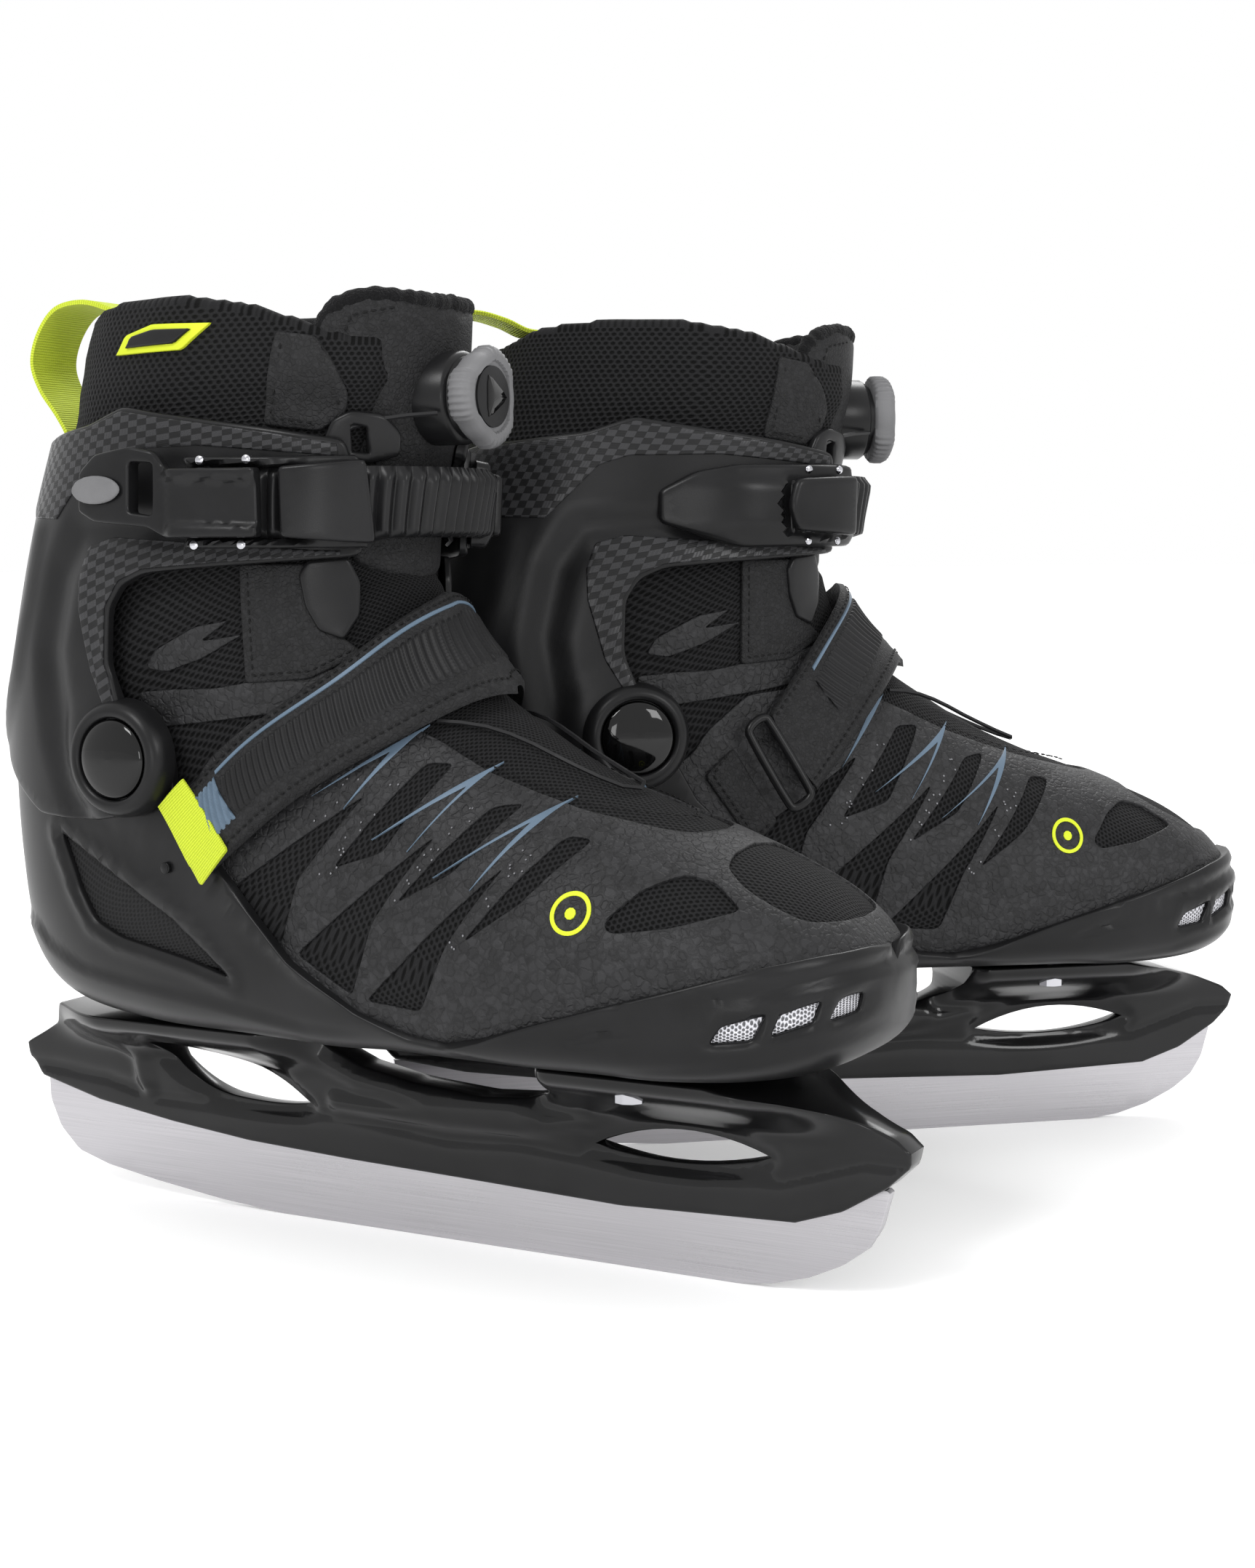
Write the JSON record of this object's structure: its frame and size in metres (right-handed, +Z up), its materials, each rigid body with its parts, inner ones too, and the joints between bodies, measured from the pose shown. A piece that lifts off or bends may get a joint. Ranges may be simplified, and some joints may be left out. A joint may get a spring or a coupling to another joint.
{
  "type": "pair of ice skates",
  "caption": "Pair of recreational soft-boot ice skates with hinged cuff, ratchet buckle, lacing dial, instep strap and plain runner.",
  "frame": {"origin": "on the ice, under the middle of the box round both skates", "axes": "+X forward, midway between the two toe directions; +Y from the right skate to the left skate; +Z up"},
  "size_m": [0.3984, 0.294, 0.283],
  "materials": {
    "steel": "brushed, polished edge",
    "bolt_steel": "bright",
    "holder_plastic": "smooth gloss",
    "shell_plastic": "satin moulded",
    "buckle_plastic": "fine moulded grain",
    "cap_gloss": "high gloss",
    "carbon_trim": "moulded check weave",
    "mesh_fabric": "open spacer mesh",
    "upper_leather": "fine pebbled synthetic",
    "strap_leather": "suede-like synthetic",
    "lining_fleece": "short pile",
    "window_fabric": "plain weave",
    "silver_mesh": "metallic mesh",
    "grey_rubber": "matt",
    "dark_rubber": "matt",
    "print_blue": "printed",
    "lime_webbing": "grosgrain weave",
    "lime_print": "printed",
    "stitch_thread": "twisted thread",
    "lace_cord": "thin round cord"
  },
  "bodies": {
    "right_chassis": {"right_runner": "steel", "right_blade_holder": "holder_plastic", "right_front_bolt_lateral": "bolt_steel", "right_front_bolt_medial": "bolt_steel", "right_rear_bolt": "bolt_steel", "right_sole_shell": "shell_plastic", "right_boot_foot": "upper_leather", "right_footbed": "lining_fleece", "right_pivot_lateral": "cap_gloss", "right_pivot_medial": "cap_gloss", "right_lace_lower": "lace_cord", "right_ring_anchor": "strap_leather"},
    "right_cuff": {"right_cuff": "shell_plastic", "right_boot_collar": "mesh_fabric", "right_tongue": "upper_leather", "right_buckle_base": "buckle_plastic", "right_ladder_strap": "buckle_plastic", "right_press_housing": "buckle_plastic", "right_dial_base": "buckle_plastic", "right_lace_upper": "lace_cord", "right_guide_upper_lateral": "buckle_plastic", "right_guide_upper_medial": "buckle_plastic", "right_pull_loop": "lime_webbing"},
    "right_lever": {"right_buckle_lever": "buckle_plastic"},
    "right_lever_tip": {"right_buckle_tip": "grey_rubber"},
    "right_button": {"right_press_button": "buckle_plastic"},
    "right_spool": {"right_dial_spool": "grey_rubber"},
    "right_knob": {"right_dial_knob": "grey_rubber"},
    "right_ring": {"right_strap_ring": "bolt_steel"},
    "right_strap": {"right_instep_strap": "strap_leather"},
    "left_chassis": {"left_runner": "steel", "left_blade_holder": "holder_plastic", "left_front_bolt_lateral": "bolt_steel", "left_front_bolt_medial": "bolt_steel", "left_rear_bolt": "bolt_steel", "left_sole_shell": "shell_plastic", "left_boot_foot": "upper_leather", "left_footbed": "lining_fleece", "left_pivot_lateral": "cap_gloss", "left_pivot_medial": "cap_gloss", "left_lace_lower": "lace_cord", "left_ring_anchor": "strap_leather"},
    "left_cuff": {"left_cuff": "shell_plastic", "left_boot_collar": "mesh_fabric", "left_tongue": "upper_leather", "left_buckle_base": "buckle_plastic", "left_ladder_strap": "buckle_plastic", "left_press_housing": "buckle_plastic", "left_dial_base": "buckle_plastic", "left_lace_upper": "lace_cord", "left_guide_upper_lateral": "buckle_plastic", "left_guide_upper_medial": "buckle_plastic", "left_pull_loop": "lime_webbing"},
    "left_lever": {"left_buckle_lever": "buckle_plastic"},
    "left_lever_tip": {"left_buckle_tip": "grey_rubber"},
    "left_button": {"left_press_button": "buckle_plastic"},
    "left_spool": {"left_dial_spool": "grey_rubber"},
    "left_knob": {"left_dial_knob": "grey_rubber"},
    "left_ring": {"left_strap_ring": "bolt_steel"},
    "left_strap": {"left_instep_strap": "strap_leather"}
  },
  "joints": [
    {"name": "pair_spacing", "type": "slide", "parent": "right_chassis", "child": "left_chassis", "axis": [0, 1, 0], "range_m": [0, 0.06]},
    {"name": "right_cuff_flex", "type": "hinge", "parent": "right_chassis", "child": "right_cuff", "pos_m": [-0.12261, -0.0431, 0.145], "axis": [0.3405, 0.9402, 0], "range_deg": [0, 8], "stiffness_Nm_per_rad": 6, "springref_deg": -3.44},
    {"name": "right_lever_open", "type": "hinge", "parent": "right_cuff", "child": "right_lever", "pos_m": [-0.0912, -0.10906, 0.218], "axis": [0, 0, 1], "range_deg": [0, 80], "stiffness_Nm_per_rad": 0.02, "springref_deg": -28.65},
    {"name": "right_tip_press", "type": "slide", "parent": "right_lever", "child": "right_lever_tip", "axis": [0.9355, -0.3532, 0], "range_m": [0, 0.003], "stiffness_N_per_m": 200, "springref_m": -0.001},
    {"name": "right_button_press", "type": "slide", "parent": "right_cuff", "child": "right_button", "axis": [-0.6303, -0.7763, -0.005], "range_m": [0, 0.0018], "stiffness_N_per_m": 400, "springref_m": -0.001},
    {"name": "right_dial_turn", "type": "hinge", "parent": "right_cuff", "child": "right_spool", "pos_m": [-0.03893, -0.07341, 0.248], "axis": [-0.9402, 0.3405, 0], "continuous": true},
    {"name": "right_dial_pull", "type": "slide", "parent": "right_spool", "child": "right_knob", "axis": [0.9402, -0.3405, 0], "range_m": [0, 0.0025]},
    {"name": "right_ring_swing", "type": "hinge", "parent": "right_chassis", "child": "right_ring", "pos_m": [-0.06469, -0.01464, 0.13293], "axis": [-0.4903, 0.0517, 0.87], "range_deg": [0, 12]},
    {"name": "right_strap_open", "type": "hinge", "parent": "right_ring", "child": "right_strap", "pos_m": [-0.05853, -0.01802, 0.13766], "axis": [-0.5078, 0.0306, 0.8609], "range_deg": [0, 40]},
    {"name": "left_cuff_flex", "type": "hinge", "parent": "left_chassis", "child": "left_cuff", "pos_m": [-0.01701, 0.0431, 0.145], "axis": [-0.3405, 0.9402, 0], "range_deg": [0, 8], "stiffness_Nm_per_rad": 6, "springref_deg": -3.44},
    {"name": "left_lever_open", "type": "hinge", "parent": "left_cuff", "child": "left_lever", "pos_m": [0.0144, 0.10906, 0.218], "axis": [0, 0, -1], "range_deg": [0, 80], "stiffness_Nm_per_rad": 0.02, "springref_deg": -28.65},
    {"name": "left_tip_press", "type": "slide", "parent": "left_lever", "child": "left_lever_tip", "axis": [0.9355, 0.3532, 0], "range_m": [0, 0.003], "stiffness_N_per_m": 200, "springref_m": -0.001},
    {"name": "left_button_press", "type": "slide", "parent": "left_cuff", "child": "left_button", "axis": [-0.6303, 0.7763, -0.005], "range_m": [0, 0.0018], "stiffness_N_per_m": 400, "springref_m": -0.001},
    {"name": "left_dial_turn", "type": "hinge", "parent": "left_cuff", "child": "left_spool", "pos_m": [0.06667, 0.07341, 0.248], "axis": [0.9402, 0.3405, 0], "continuous": true},
    {"name": "left_dial_pull", "type": "slide", "parent": "left_spool", "child": "left_knob", "axis": [0.9402, 0.3405, 0], "range_m": [0, 0.0025]},
    {"name": "left_ring_swing", "type": "hinge", "parent": "left_chassis", "child": "left_ring", "pos_m": [0.04091, 0.01464, 0.13293], "axis": [0.4903, 0.0517, -0.87], "range_deg": [0, 12]},
    {"name": "left_strap_open", "type": "hinge", "parent": "left_ring", "child": "left_strap", "pos_m": [0.04707, 0.01802, 0.13766], "axis": [0.5078, 0.0306, -0.8609], "range_deg": [0, 40]}
  ]
}
